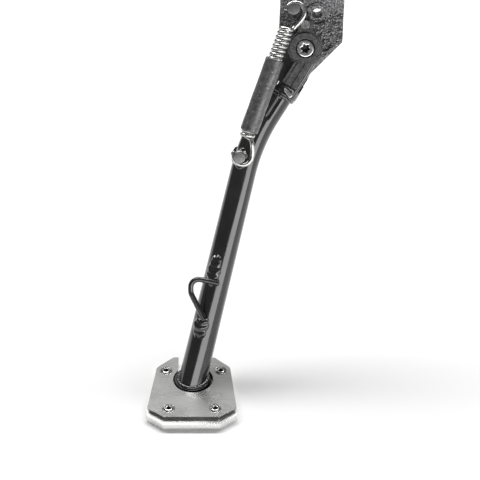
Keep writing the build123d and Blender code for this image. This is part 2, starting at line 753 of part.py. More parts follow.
cover_plane = foot_plane.offset(base_thickness + cover_thickness)
cover_blank = plate_sketch(foot_plane.offset(base_thickness), cover_outline, cover_thickness)
with BuildPart() as foot_cover_plate:
    add(cover_blank)
    with BuildSketch(cover_plane):
        with Locations((0, -keyhole_offset)):
            Circle(keyhole_radius)
        with Locations((0, rear_reach)):
            Rectangle(2 * keyhole_half_width, 2 * rear_reach)
    extrude(amount=-cover_thickness, mode=Mode.SUBTRACT)
    with Locations(*[Location(cover_plane) * Location((x, y, 0)) for x, y in screw_places]):
        CounterSinkHole(screw_radius + bolt_gap, screw_head_radius + bolt_gap, cover_thickness,
                        countersink_angle)
write(foot_cover_plate, "foot_cover_plate")

head_cone = (screw_head_radius - screw_radius) / math.tan(math.radians(countersink_angle / 2))
with BuildPart() as plate_screws:
    for x, y in screw_places:
        with BuildSketch(cover_plane):
            with Locations((x, y)):
                Circle(screw_head_radius)
        with BuildSketch(cover_plane.offset(-head_cone)):
            with Locations((x, y)):
                Circle(screw_radius)
        loft(ruled=True)
        with BuildSketch(cover_plane.offset(-head_cone)):
            with Locations((x, y)):
                Circle(screw_radius)
        extrude(amount=-(screw_length - head_cone))
        with BuildSketch(cover_plane):
            with Locations((x, y)):
                Circle(screw_head_radius)
        extrude(amount=screw_dome, taper=screw_dome_taper)
        with BuildSketch(cover_plane.offset(screw_dome)):
            with Locations((x, y)):
                RegularPolygon(screw_socket_width / 2, 6, major_radius=False)
        extrude(amount=-screw_socket_depth, mode=Mode.SUBTRACT)
write(plate_screws, "plate_screws")

ring_place = foot_centre + Vector(boss_ring_shift_x, boss_ring_shift_y, 0)
ring_top = foot_top + boss_ring_height
with BuildPart() as stand_foot:
    with BuildSketch(Plane(origin=(ring_place.X, ring_place.Y, foot_top))):
        Circle(boss_ring_radius)
    extrude(amount=boss_ring_height, taper=boss_ring_taper)
    add(tube_outside, mode=Mode.SUBTRACT)
    with BuildSketch(foot_plane.offset(pocket_floor + seat_gap)):
        with Locations((0, foot_middle)):
            RectangleRounded(2 * foot_half_width, foot_size, foot_corner - foot_gap)
    extrude(amount=foot_thickness - seat_gap)
write(stand_foot, "stand_foot")

with BuildPart() as foot_weld:
    with BuildSketch(Plane(origin=leg_tip, x_dir=shin.x_dir, z_dir=shin.y_dir)):
        Circle(foot_tube_radius + foot_weld_size)
    extrude(amount=leg_reach)
    split(bisect_by=Plane.XY.offset(ring_top + seat_gap), keep=Keep.TOP)
    split(bisect_by=Plane.XY.offset(ring_top + foot_weld_height), keep=Keep.BOTTOM)
    add(tube_outside, mode=Mode.SUBTRACT)
write(foot_weld, "foot_weld")
print("foot centre", foot_centre, "ground", ground)
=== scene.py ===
import json
import math
import bpy
import numpy as np
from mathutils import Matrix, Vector


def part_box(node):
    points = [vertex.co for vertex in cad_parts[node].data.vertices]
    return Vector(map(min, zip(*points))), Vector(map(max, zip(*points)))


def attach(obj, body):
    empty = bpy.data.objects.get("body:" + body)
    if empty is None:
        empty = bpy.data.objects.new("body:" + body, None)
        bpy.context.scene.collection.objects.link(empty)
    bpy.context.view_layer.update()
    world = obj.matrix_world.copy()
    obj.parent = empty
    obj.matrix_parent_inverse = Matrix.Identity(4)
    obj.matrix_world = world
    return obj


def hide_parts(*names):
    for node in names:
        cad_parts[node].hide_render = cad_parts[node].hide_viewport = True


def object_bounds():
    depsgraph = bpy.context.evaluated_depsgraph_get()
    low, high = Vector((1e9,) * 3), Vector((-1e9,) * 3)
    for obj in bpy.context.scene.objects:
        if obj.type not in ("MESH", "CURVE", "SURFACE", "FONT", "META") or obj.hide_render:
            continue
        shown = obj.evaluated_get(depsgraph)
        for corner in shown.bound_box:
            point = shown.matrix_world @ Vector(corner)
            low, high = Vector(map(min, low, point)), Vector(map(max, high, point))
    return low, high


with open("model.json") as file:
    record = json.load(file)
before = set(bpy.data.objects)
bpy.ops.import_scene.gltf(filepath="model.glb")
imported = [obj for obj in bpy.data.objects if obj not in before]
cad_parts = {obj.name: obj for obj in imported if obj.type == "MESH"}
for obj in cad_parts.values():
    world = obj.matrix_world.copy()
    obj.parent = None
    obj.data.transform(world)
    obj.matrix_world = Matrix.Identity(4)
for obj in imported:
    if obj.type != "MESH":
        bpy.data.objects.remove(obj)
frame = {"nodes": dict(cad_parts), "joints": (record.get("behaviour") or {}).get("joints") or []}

cadLow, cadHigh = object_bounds()
nodes = frame["nodes"]
joints = {joint["name"]: joint for joint in frame["joints"]}
mm = 0.001

# the plane the leg swings in: u runs to the rear, v up the plane, w outward along the pivot
pivot = np.array(joints["stand_fold"]["pos_m"])
outward = np.array(joints["stand_fold"]["axis"])
outward = outward / np.linalg.norm(outward)
rearward = np.array([1.0, 0.0, 0.0])
upward = np.cross(outward, rearward)
ground = cadLow.z


def swingPoint(u, v, w):
    # pivot + u, v and w millimetres along the swing plane's own directions
    u, v, w = np.broadcast_arrays(np.asarray(u, float), v, w)
    return pivot + mm * (u[..., None] * rearward + v[..., None] * upward + w[..., None] * outward)


cameraSetup = {
    "place": (-0.07528, -1.24565, 0.60346),
    "tilt": 54.0,              # degrees up from straight down
    "lens": 105.0,
}
cameraData = bpy.data.cameras.new("camera")
cameraData.lens = cameraSetup["lens"]
cameraData.sensor_width = 36.0
cameraData.clip_end = 50.0
camera = bpy.data.objects.new("camera", cameraData)
bpy.context.scene.collection.objects.link(camera)
camera.location = cameraSetup["place"]
camera.rotation_euler = (math.radians(cameraSetup["tilt"]), 0.0, 0.0)
bpy.context.scene.camera = camera

studio = {
    "world": 0.13,
    "lamps": [
        # name, place, aims at, width, height, radiance
        ("backBox", (-0.1, 1.9, 1.3), (-0.12, -0.1, -0.35), 2.6, 1.5, 0.68),
        ("frontBox", (0.68, -1.66, -0.035), (-0.08, -0.1, -0.035), 2.8, 0.63, 4.6),
        ("topBox", (-0.1, 0.62, 1.42), (-0.1, -0.15, -0.35), 2.8, 0.45, 14.5),
    ],
}


def addLamp(name, place, target, width, height, radiance):
    # an area lamp gives off pi * area watts for each unit of radiance
    lampData = bpy.data.lights.new(name, "AREA")
    lampData.shape = "RECTANGLE"
    lampData.size = width
    lampData.size_y = height
    lampData.energy = math.pi * width * height * radiance
    lamp = bpy.data.objects.new(name, lampData)
    bpy.context.scene.collection.objects.link(lamp)
    lamp.location = place
    aim = Vector(target) - Vector(place)
    lamp.rotation_euler = aim.to_track_quat("-Z", "Y").to_euler()


for lampLine in studio["lamps"]:
    addLamp(*lampLine)

world = bpy.data.worlds.new("studioWorld")
bpy.context.scene.world = world
world.use_nodes = True
world.node_tree.nodes["Background"].inputs["Color"].default_value = (1.0, 1.0, 1.0, 1.0)
world.node_tree.nodes["Background"].inputs["Strength"].default_value = studio["world"]
bpy.context.scene.view_settings.view_transform = "Standard"

floorHalf = 6.0
floorCorners = [(x * floorHalf, y * floorHalf, ground) for x, y in ((-1, -1), (1, -1), (1, 1), (-1, 1))]
floorMesh = bpy.data.meshes.new("floor")
floorMesh.from_pydata(floorCorners, [], [(0, 1, 2, 3)])
floor = bpy.data.objects.new("floor", floorMesh)
bpy.context.scene.collection.objects.link(floor)
print("studio ready")


def gridFaces(rows, cols, wrapRows):
    # quads between neighbouring rows and columns, as one array
    r = np.arange(rows if wrapRows else rows - 1)
    r, c = np.meshgrid(r, np.arange(cols), indexing="ij")
    r2, c2 = (r + 1) % rows, (c + 1) % cols
    return np.stack([r * cols + c, r * cols + c2, r2 * cols + c2, r2 * cols + c], -1).reshape(-1, 4)


def shell(net, wrapRows=False):
    # one closed surface: the net and a fan to the middle of its first and last row, turned to face outwards
    rows, cols = net.shape[:2]
    points = net.reshape(-1, 3)
    quads = gridFaces(rows, cols, wrapRows)
    fans = np.zeros((0, 3), int)
    if not wrapRows:
        points = np.vstack([points, net[0].mean(0), net[-1].mean(0)])
        a = np.arange(cols)
        b = (a + 1) % cols
        start, end = rows * cols, rows * cols + 1
        last = (rows - 1) * cols
        startFan = np.stack([b, a, 0 * a + start], -1)
        endFan = np.stack([last + a, last + b, 0 * a + end], -1)
        fans = np.vstack([startFan, endFan])
    tris = np.vstack([quads[:, [0, 1, 2]], quads[:, [0, 2, 3]], fans])
    p = points[tris] - points.mean(0)
    volume = np.einsum("ij,ij->i", p[:, 0], np.cross(p[:, 1], p[:, 2])).sum()
    if volume < 0:
        quads, fans = quads[:, ::-1], fans[:, ::-1]
    return points, quads, fans


def makePiece(name, shells, body, material, replaced):
    # several closed surfaces in one mesh, with the finish and the body that the piece belongs to
    points, loops, sizes, offset = [], [], [], 0
    for verts, quads, fans in shells:
        points.append(verts)
        loops += [(quads + offset).ravel(), (fans + offset).ravel()]
        sizes += [np.full(len(quads), 4), np.full(len(fans), 3)]
        offset += len(verts)
    points, loops, sizes = np.vstack(points), np.concatenate(loops), np.concatenate(sizes)
    mesh = bpy.data.meshes.new(name)
    mesh.vertices.add(len(points))
    mesh.vertices.foreach_set("co", points.astype(np.float32).ravel())
    mesh.loops.add(len(loops))
    mesh.loops.foreach_set("vertex_index", loops.astype(np.int32))
    mesh.polygons.add(len(sizes))
    mesh.polygons.foreach_set("loop_start", (np.cumsum(sizes) - sizes).astype(np.int32))
    mesh.polygons.foreach_set("loop_total", sizes.astype(np.int32))
    mesh.polygons.foreach_set("use_smooth", np.ones(len(sizes), bool))
    mesh.update(calc_edges=True)
    mesh.validate()
    mesh.materials.append(material)
    piece = bpy.data.objects.new(name, mesh)
    bpy.context.scene.collection.objects.link(piece)
    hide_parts(*replaced)
    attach(piece, body)
    return piece


def turnedNet(profile, origin, axis, side, turns=64):
    # a profile of (radius, height) rows in millimetres carried round an axis
    profile = np.asarray(profile, float)
    angle = np.linspace(0, 2 * np.pi, turns, endpoint=False)
    other = np.cross(axis, side)
    ring = np.cos(angle)[:, None] * side + np.sin(angle)[:, None] * other
    return origin + mm * (profile[:, 0, None, None] * ring + profile[:, 1, None, None] * axis)


def softCorners(points, radius, steps=4):
    # an open line with each inner corner replaced by a small arc, a quadratic curve through the arc's ends;
    # an arc takes at most 0.45 of the shorter run beside it
    points = np.asarray(points, float)
    t = np.linspace(0, 1, steps)[:, None]
    corner = points[1:-1]
    back, fore = points[:-2] - corner, points[2:] - corner
    backLen, foreLen = np.linalg.norm(back, axis=1), np.linalg.norm(fore, axis=1)
    cut = np.minimum(radius, 0.45 * np.minimum(backLen, foreLen))[:, None]
    a = corner + back / backLen[:, None] * cut
    b = corner + fore / foreLen[:, None] * cut
    ends = (1 - t)[None] ** 2 * a[:, None], t[None] ** 2 * b[:, None]
    arcs = ends[0] + 2 * (t * (1 - t))[None] * corner[:, None] + ends[1]
    return np.vstack([points[:1], arcs.reshape(-1, points.shape[1]), points[-1:]])


def smoothStep(low, high, x):
    # 0 below low, 1 above high, and t^2 * (3 - 2t) between
    t = np.clip((x - low) / (high - low), 0, 1)
    return t * t * (3 - 2 * t)


def waves(x, y, seed):
    # smooth unevenness: the sum of five crossed sine waves with seeded directions and phases, over three
    rng = np.random.default_rng(int(seed))
    kx, ky, phase = rng.uniform(-1, 1, (3, 5))
    total = sum(np.sin(kx[i] * x + ky[i] * y + 9 * phase[i]) for i in range(5))
    return total / 3


def newFinish(name):
    # an empty finish: its material, its node tree and its surface node
    material = bpy.data.materials.new(name)
    material.use_nodes = True
    return material, material.node_tree, material.node_tree.nodes["Principled BSDF"]


def addNode(tree, kind, settings=(), inputs=()):
    # a node with its settings; an input is either a value or another node's socket
    made = tree.nodes.new(kind)
    for key, value in dict(settings).items():
        setattr(made, key, value)
    for key, value in dict(inputs).items():
        if isinstance(value, bpy.types.NodeSocket):
            tree.links.new(value, made.inputs[key])
        else:
            made.inputs[key].default_value = value
    return made


def objectPlace(tree, stretch=(1.0, 1.0, 1.0)):
    # the place on the piece in metres, squeezed along the ways in which its grain runs
    coords = addNode(tree, "ShaderNodeTexCoord")
    mapping = addNode(tree, "ShaderNodeMapping", {"vector_type": "POINT"}, {
        "Vector": coords.outputs["Object"], "Scale": stretch})
    return mapping.outputs["Vector"]


def noise(tree, place, scale, detail=3.0, rough=0.5):
    # scale is in lumps to the metre
    made = addNode(tree, "ShaderNodeTexNoise", {}, {
        "Vector": place, "Scale": scale, "Detail": detail, "Roughness": rough})
    return made.outputs["Fac"]


def remap(tree, value, fromLow, fromHigh, toLow, toHigh):
    # one range drawn out to another along a straight line, and held at its ends
    made = addNode(tree, "ShaderNodeMapRange", {"clamp": True}, {
        "Value": value, "From Min": fromLow, "From Max": fromHigh, "To Min": toLow, "To Max": toHigh})
    return made.outputs["Result"]


def drawnOut(tree, value, toLow, toHigh):
    # a noise lies mostly between 0.3 and 0.7, and that middle is drawn out to the range asked for
    return remap(tree, value, 0.3, 0.7, toLow, toHigh)


def blendColour(tree, amount, low, high):
    # low * (1 - amount) + high * amount, where each is a colour or another node's socket
    made = addNode(tree, "ShaderNodeMix", {"data_type": "RGBA"}, {"Factor": amount})
    for socket, colour in ((made.inputs[6], low), (made.inputs[7], high)):
        if isinstance(colour, bpy.types.NodeSocket):
            tree.links.new(colour, socket)
        else:
            socket.default_value = (*colour, 1.0)
    return made.outputs[2]


def bump(tree, height, strength, distance, normal=None):
    # tilts the normal by the slope of a height; distance is the height in metres at 1
    inputs = {"Height": height, "Strength": strength, "Distance": distance}
    if normal is not None:
        inputs["Normal"] = normal
    return addNode(tree, "ShaderNodeBump", {}, inputs).outputs["Normal"]


# what finishes of a kind share: edges of specks and dust as noise levels, and depths of relief in metres
paintShared = {"speckEdge": 0.06, "peelDepth": 0.0002, "lumpDepth": 0.002}
metalShared = {"grainFrom": 0.35, "grainTo": 0.65, "hazeFrom": 0.45, "hazeTo": 0.75, "grainDepth": 0.0002,
               "dentDepth": 0.001}
mouldedShared = {"dustFrom": 0.62, "dustTo": 0.74, "skinDepth": 0.0003, "lumpDepth": 0.001,
                 # the creases' painted shade: a near-black colour laid along each crease line
                 "creasePaintedShade": (0.006, 0.006, 0.006), "crease": 0.8, "creaseDepth": 0.001}


def paintFinish(name, look):
    # paint: a slow change of shade, light specks, uneven gloss, and the fine ripple of a sprayed coat; on the
    # cast grey the specks are painted glints
    shared = paintShared
    material, tree, shader = newFinish(name)
    place = objectPlace(tree)
    slow = noise(tree, place, look["slowScale"], 4.0)
    dots = noise(tree, place, look["speckScale"], 2.0)
    # light specks; on the cast grey these are painted glints
    specks = remap(tree, dots, look["speckFrom"], look["speckFrom"] + shared["speckEdge"], 0, 1)
    base = blendColour(tree, drawnOut(tree, slow, 0, 1), look["dark"], look["light"])
    tree.links.new(blendColour(tree, specks, base, look["speck"]), shader.inputs["Base Color"])
    gloss = noise(tree, place, look["glossScale"], 3.0)
    tree.links.new(drawnOut(tree, gloss, look["smooth"], look["rough"]), shader.inputs["Roughness"])
    peel = bump(tree, noise(tree, place, look["peelScale"], 2.0), look["peel"], shared["peelDepth"])
    tree.links.new(bump(tree, slow, look["lump"], shared["lumpDepth"], peel), shader.inputs["Normal"])
    shader.inputs["Metallic"].default_value = look["metal"]
    shader.inputs["Coat Weight"].default_value = look["coat"]
    shader.inputs["Coat Roughness"].default_value = look["coatRough"]
    return material


def metalFinish(name, look):
    # bare or plated metal: grain drawn out along one way, patches of haze and small scratches
    shared = metalShared
    material, tree, shader = newFinish(name)
    place = objectPlace(tree)
    drawn = objectPlace(tree, look.get("stretch", (1.0, 1.0, 1.0)))
    grain = noise(tree, drawn, look["grainScale"], 4.0, 0.6)
    haze = noise(tree, place, look["hazeScale"], 4.0, 0.55)
    tint = remap(tree, grain, shared["grainFrom"], shared["grainTo"], 0, 1)
    shade = blendColour(tree, tint, look["dark"], look["light"])
    patches = remap(tree, haze, shared["hazeFrom"], shared["hazeTo"], 0, look["hazeAmount"])
    tree.links.new(blendColour(tree, patches, shade, look["hazeColour"]), shader.inputs["Base Color"])
    tree.links.new(drawnOut(tree, haze, look["smooth"], look["rough"]), shader.inputs["Roughness"])
    fine = bump(tree, grain, look["grain"], shared["grainDepth"])
    tree.links.new(bump(tree, haze, look["dent"], shared["dentDepth"], fine), shader.inputs["Normal"])
    shader.inputs["Metallic"].default_value = 1.0
    return material


def creaseFade(tree, crease):
    # 1 on the plain surface and 0 in each crease, where painted shade goes: distance from its line, beyond a
    # set reach down the piece
    coords = addNode(tree, "ShaderNodeTexCoord").outputs["Object"]
    place = addNode(tree, "ShaderNodeVectorMath", {"operation": "SUBTRACT"}, {
        0: coords, 1: tuple(crease["from"])})
    ways = (crease["across"], crease["down"])
    across, down = (addNode(tree, "ShaderNodeVectorMath", {"operation": "DOT_PRODUCT"}, {
        0: place.outputs["Vector"], 1: tuple(way)}).outputs["Value"] for way in ways)
    fade = remap(tree, down, mm * crease["reach"], mm * (crease["reach"] - crease["fade"]), 0.0, 1.0)
    total = None
    for line in crease["lines"]:
        away = addNode(tree, "ShaderNodeMath", {"operation": "SUBTRACT"}, {0: across, 1: mm * line})
        size = addNode(tree, "ShaderNodeMath", {"operation": "ABSOLUTE"}, {0: away.outputs[0]})
        clear = remap(tree, size.outputs[0], mm * crease["bottom"], mm * crease["width"], 0.0, 1.0)
        lit = addNode(tree, "ShaderNodeMath", {"operation": "MAXIMUM"}, {0: clear, 1: fade}).outputs[0]
        if total is not None:
            lit = addNode(tree, "ShaderNodeMath", {"operation": "MULTIPLY"}, {0: total, 1: lit}).outputs[0]
        total = lit
    return total


def mouldedFinish(name, look):
    # plastic or rubber: mottled shade, fine pitted skin, and creases where they are asked for, each a dented
    # line darkened with painted shade
    shared = mouldedShared
    material, tree, shader = newFinish(name)
    place = objectPlace(tree)
    mottle = noise(tree, place, look["mottleScale"], 5.0, 0.6)
    dots = noise(tree, place, look["dustScale"], 2.0)
    dust = remap(tree, dots, shared["dustFrom"], shared["dustTo"], 0, look["dustAmount"])
    base = blendColour(tree, drawnOut(tree, mottle, 0, 1), look["dark"], look["light"])
    shade = blendColour(tree, dust, base, look["dust"])
    lines = None
    if "crease" in look:
        plain = creaseFade(tree, look["crease"])
        # painted shade: the colour goes to near black along each crease
        shade = blendColour(tree, plain, shared["creasePaintedShade"], shade)
        lines = bump(tree, plain, shared["crease"], shared["creaseDepth"])
    tree.links.new(shade, shader.inputs["Base Color"])
    tree.links.new(drawnOut(tree, mottle, look["rough"], look["smooth"]), shader.inputs["Roughness"])
    skin = bump(tree, noise(tree, place, look["skinScale"], 2.0), look["skin"], shared["skinDepth"], lines)
    tree.links.new(bump(tree, mottle, look["lump"], shared["lumpDepth"], skin), shader.inputs["Normal"])
    shader.inputs["Specular IOR Level"].default_value = look["sheen"]
    return material


legBlack = paintFinish("legBlack", {
    "dark": (0.011, 0.011, 0.012), "light": (0.022, 0.022, 0.023), "speck": (0.10, 0.10, 0.10),
    "slowScale": 45.0, "speckScale": 900.0, "speckFrom": 0.74, "glossScale": 70.0, "smooth": 0.07,
    "rough": 0.17, "peelScale": 420.0, "peel": 0.10, "lump": 0.06, "coat": 0.5, "coatRough": 0.04,
    "metal": 0.0})
forgedBlack = paintFinish("forgedBlack", {
    "dark": (0.009, 0.009, 0.010), "light": (0.024, 0.024, 0.026), "speck": (0.22, 0.22, 0.22),
    "slowScale": 160.0, "speckScale": 1300.0, "speckFrom": 0.70, "glossScale": 150.0, "smooth": 0.10,
    "rough": 0.24, "peelScale": 700.0, "peel": 0.3, "lump": 0.3, "coat": 0.7, "coatRough": 0.07,
    "metal": 0.0})
weldBlack = paintFinish("weldBlack", {
    "dark": (0.006, 0.006, 0.006), "light": (0.02, 0.019, 0.019), "speck": (0.16, 0.15, 0.14),
    "slowScale": 260.0, "speckScale": 1500.0, "speckFrom": 0.70, "glossScale": 300.0, "smooth": 0.04,
    "rough": 0.14, "peelScale": 900.0, "peel": 0.25, "lump": 0.45, "coat": 1.0, "coatRough": 0.03,
    "metal": 0.0})
# the bracket's bright specks are painted glints on its cast surface
castGrey = paintFinish("castGrey", {
    "dark": (0.03, 0.03, 0.032), "light": (0.24, 0.24, 0.245), "speck": (0.6, 0.6, 0.6),
    "slowScale": 420.0, "speckScale": 1100.0, "speckFrom": 0.64, "glossScale": 260.0, "smooth": 0.18,
    "rough": 0.42, "peelScale": 1000.0, "peel": 0.5, "lump": 0.8, "coat": 0.2, "coatRough": 0.15,
    "metal": 0.7})
zincPlate = metalFinish("zincPlate", {
    "grainScale": 1500.0, "dark": (0.60, 0.60, 0.61), "light": (0.80, 0.80, 0.81), "hazeScale": 180.0,
    "hazeAmount": 0.5, "hazeColour": (0.52, 0.52, 0.52), "smooth": 0.20, "rough": 0.36, "grain": 0.08,
    "dent": 0.05})
springZinc = metalFinish("springZinc", {
    "grainScale": 900.0, "dark": (0.46, 0.46, 0.45), "light": (0.70, 0.70, 0.68), "hazeScale": 130.0,
    "hazeAmount": 0.6, "hazeColour": (0.30, 0.30, 0.29), "smooth": 0.18, "rough": 0.34, "grain": 0.06,
    "dent": 0.08})
postSteel = metalFinish("postSteel", {
    "grainScale": 1300.0, "dark": (0.22, 0.22, 0.22), "light": (0.34, 0.34, 0.34), "hazeScale": 300.0,
    "hazeAmount": 0.6, "hazeColour": (0.16, 0.155, 0.15), "smooth": 0.32, "rough": 0.5, "grain": 0.15,
    "dent": 0.12})
bronzeBush = metalFinish("bronzeBush", {
    "grainScale": 1200.0, "dark": (0.42, 0.28, 0.12), "light": (0.60, 0.42, 0.20), "hazeScale": 240.0,
    "hazeAmount": 0.5, "hazeColour": (0.25, 0.17, 0.09), "smooth": 0.25, "rough": 0.45, "grain": 0.1,
    "dent": 0.1})
brushedSteel = metalFinish("brushedSteel", {
    "stretch": (0.035, 1.0, 1.0), "grainScale": 2600.0, "dark": (0.27, 0.27, 0.267),
    "light": (0.37, 0.37, 0.365), "hazeScale": 30.0, "hazeAmount": 0.35,
    "hazeColour": (0.27, 0.27, 0.267), "smooth": 0.22, "rough": 0.32, "grain": 0.16, "dent": 0.004})
satinAluminium = metalFinish("satinAluminium", {
    "stretch": (0.2, 0.2, 1.0), "grainScale": 1600.0, "dark": (0.72, 0.72, 0.71),
    "light": (0.86, 0.86, 0.85), "hazeScale": 60.0, "hazeAmount": 0.25, "hazeColour": (0.65, 0.65, 0.64),
    "smooth": 0.22, "rough": 0.32, "grain": 0.08, "dent": 0.006})
screwSteel = metalFinish("screwSteel", {
    "grainScale": 1800.0, "dark": (0.40, 0.40, 0.395), "light": (0.56, 0.56, 0.555), "hazeScale": 260.0,
    "hazeAmount": 0.4, "hazeColour": (0.30, 0.30, 0.30), "smooth": 0.10, "rough": 0.2, "grain": 0.04,
    "dent": 0.04})
sleeveRubber = mouldedFinish("sleeveRubber", {
    "dark": (0.020, 0.020, 0.021), "light": (0.115, 0.115, 0.115), "dust": (0.34, 0.34, 0.33),
    "mottleScale": 240.0, "dustScale": 420.0, "dustAmount": 0.8, "rough": 0.42, "smooth": 0.24,
    "skinScale": 800.0, "skin": 0.35, "lump": 0.4, "sheen": 0.9})
armLean = math.radians(32.4)
armCreases = {
    # two creases down the switch arm, darkened with painted shade, in millimetres across it from the pivot;
    # they start below its eye
    "from": pivot, "across": math.cos(armLean) * rearward - math.sin(armLean) * upward,
    "down": -math.sin(armLean) * rearward - math.cos(armLean) * upward, "reach": 12.5, "fade": 0.5,
    "lines": (0.6, 7.4), "bottom": 0.2, "width": 0.75,
}
switchNylon = mouldedFinish("switchNylon", {
    "dark": (0.018, 0.018, 0.019), "light": (0.11, 0.11, 0.112), "dust": (0.34, 0.34, 0.34),
    "mottleScale": 330.0, "dustScale": 900.0, "dustAmount": 0.7, "rough": 0.50, "smooth": 0.32,
    "skinScale": 1100.0, "skin": 0.6, "lump": 0.5, "sheen": 0.6, "crease": armCreases})
glandRubber = mouldedFinish("glandRubber", {
    "dark": (0.012, 0.012, 0.012), "light": (0.03, 0.03, 0.03), "dust": (0.12, 0.12, 0.12),
    "mottleScale": 200.0, "dustScale": 900.0, "dustAmount": 0.4, "rough": 0.75, "smooth": 0.55,
    "skinScale": 1200.0, "skin": 0.3, "lump": 0.1, "sheen": 0.4})
# painted shade: a near-black finish laid in the bolt's six-lobed recess and the screws' hexagon sockets,
# where shade falls
recessPaintedShade = metalFinish("recessPaintedShade", {
    "grainScale": 1500.0, "dark": (0.045, 0.045, 0.045), "light": (0.09, 0.09, 0.09), "hazeScale": 400.0,
    "hazeAmount": 0.5, "hazeColour": (0.03, 0.03, 0.03), "smooth": 0.4, "rough": 0.6, "grain": 0.1,
    "dent": 0.1})
print("finishes ready")

# the leg's line, in millimetres in the swing plane; leans in degrees
leg = {
    "upperLean": 32.4, "lowerLean": 13.6, "cornerReach": 105.0, "bendRadius": 190.0, "offset": 4.1,
    "start": 42.1, "radius": 12.9, "footRadius": 14.3, "taperRun": 249.0, "stopAbove": 8.0,
    # the press mark: its ends, how far each end eases, its middle, half width, flat share of that and depth
    "markStart": 52.5, "markEnd": 77.0, "startEase": (-2, 1), "endEase": (-3, 1),
    "markSide": 1.0, "markWidth": 2.5, "markFlat": 0.45, "markDepth": 1.15,
    # the skin's unevenness: height, waves down the leg and round it, seed
    "uneven": 0.012, "unevenDown": 0.10, "unevenRound": 2.0, "unevenSeed": 3,
    "rows": 300, "turns": 144,
}


def leanWays(angle):
    # the directions across and up a leg that leans by this angle, as (u, v) pairs
    return np.array([math.cos(angle), -math.sin(angle)]), np.array([math.sin(angle), math.cos(angle)])


upperLean, lowerLean = math.radians(leg["upperLean"]), math.radians(leg["lowerLean"])
upperAcross, upperUp = leanWays(upperLean)
lowerAcross, lowerUp = leanWays(lowerLean)
bendTurn = upperLean - lowerLean
bendTangent = leg["bendRadius"] * math.tan(bendTurn / 2)
straightRun = leg["cornerReach"] - bendTangent - leg["start"]
bendRun = leg["bendRadius"] * bendTurn
legStart = leg["offset"] * upperAcross - leg["start"] * upperUp


def legLine(s):
    # centre (u, v) and lean at s below the start: a straight run, then an arc, then a straight run
    s = np.asarray(s, float)
    onArc = np.clip(s - straightRun, 0, bendRun)
    lean = upperLean - onArc / leg["bendRadius"]
    first = np.minimum(s, straightRun)
    last = np.maximum(s - straightRun - bendRun, 0)
    bend = leg["bendRadius"]
    u = legStart[0] - first * upperUp[0] - bend * (np.cos(lean) - np.cos(upperLean)) - last * lowerUp[0]
    v = legStart[1] - first * upperUp[1] + bend * (np.sin(lean) - np.sin(upperLean)) - last * lowerUp[1]
    return u, v, lean


def legRadius(s):
    # even to the end of the bend, then growing evenly to the foot
    last = np.maximum(s - straightRun - bendRun, 0)
    return leg["radius"] + (leg["footRadius"] - leg["radius"]) * last / leg["taperRun"]


def legPoint(s, angle, rise=0.0):
    # a place on the tube: s down its line, angle from its rear side towards the outside, rise above it
    u, v, lean = legLine(s)
    r = legRadius(s) + rise
    side = r * np.cos(angle)
    return swingPoint(u + side * np.cos(lean), v - side * np.sin(lean), r * np.sin(angle))


def levelReach(angle, height):
    # s at which the skin meets a level: the lower run is straight, so two places on it give the slope
    s0, step = straightRun + bendRun, 100.0
    z0, z1 = legPoint(s0, angle)[..., 2], legPoint(s0 + step, angle)[..., 2]
    return s0 + step * (height - z0) / (z1 - z0)


def legTubeNet():
    # rows down the line and columns round it; the last rows lean over so that they end level with the foot;
    # the press mark below the collar is a trough, a smooth step in from each side and each end
    angle = np.linspace(0, 2 * np.pi, leg["turns"], endpoint=False)[None, :]
    bendEnd = straightRun + bendRun
    upper = np.linspace(0, bendEnd, leg["rows"] // 2)[:, None] + 0 * angle
    share = np.linspace(0, 1, leg["rows"] // 2)[1:, None]
    lower = bendEnd + share * (levelReach(angle, ground + mm * leg["stopAbove"]) - bendEnd)
    s = np.vstack([upper, lower])
    angle = angle + 0 * s
    side = np.abs(leg["radius"] * np.cos(angle) - leg["markSide"])
    along = leg["start"] + s
    width, start, end = leg["markWidth"], leg["markStart"], leg["markEnd"]
    trough = (1 - smoothStep(width * leg["markFlat"], width, side)) * (np.sin(angle) > 0)
    trough = trough * smoothStep(start + leg["startEase"][0], start + leg["startEase"][1], along)
    trough = trough * (1 - smoothStep(end + leg["endEase"][0], end + leg["endEase"][1], along))
    uneven = leg["uneven"] * waves(along * leg["unevenDown"], angle * leg["unevenRound"], leg["unevenSeed"])
    return legPoint(s, angle, uneven - leg["markDepth"] * trough)


makePiece("legTube", [shell(legTubeNet())], "leg", legBlack, ["leg_tube"])
print("leg tube ready")

weldLook = {
    # beads: place in the swing plane, length, width, height, seed
    "upper": (-89.3, -218.2, 33.0, 15.0, 2.5, 2.0), "lower": (-102.6, -275.0, 27.0, 16.5, 3.2, 5.0),
    # a bead's rim as lobes and depth, its ripples as depth and rate, its pits as depth and rates
    "fewLobes": (5, 0.06), "manyLobes": (9, 0.04), "ripple": (0.14, 0.9), "pits": (0.6, 0.3, 0.5),
    # the ripples' share of the height, how far the rim sinks, the underside's depth and share, the inmost row
    "relief": 0.6, "rimSunk": 0.35, "underDeep": 1.6, "underShare": 0.96, "inmost": 0.02,
    # rings: distance down the leg or height above the ground, lift off the skin, thickness, ripples, seed
    "collar": (50.9, 0.5, 1.75, 17.0, 4), "foot": (12.3, 0.35, 1.7, 15.0, 8),
    "footInset": 0.2, "ringTurns": 240,
    # a ring's ripple, its unevenness, and the waves of that round the tube and round the rope
    "rope": (0.13, 0.12, 6, 1.5),
}


def placeOnLeg(u, v):
    # s down the lower run and angle round the tube for a place in the swing plane
    s0 = straightRun + bendRun
    u0, v0, _ = legLine(s0)
    away = np.array([u - u0, v - v0])
    s = s0 - away @ lowerUp
    return float(s), float(np.arccos(np.clip(away @ lowerAcross / legRadius(s), -1, 1)))


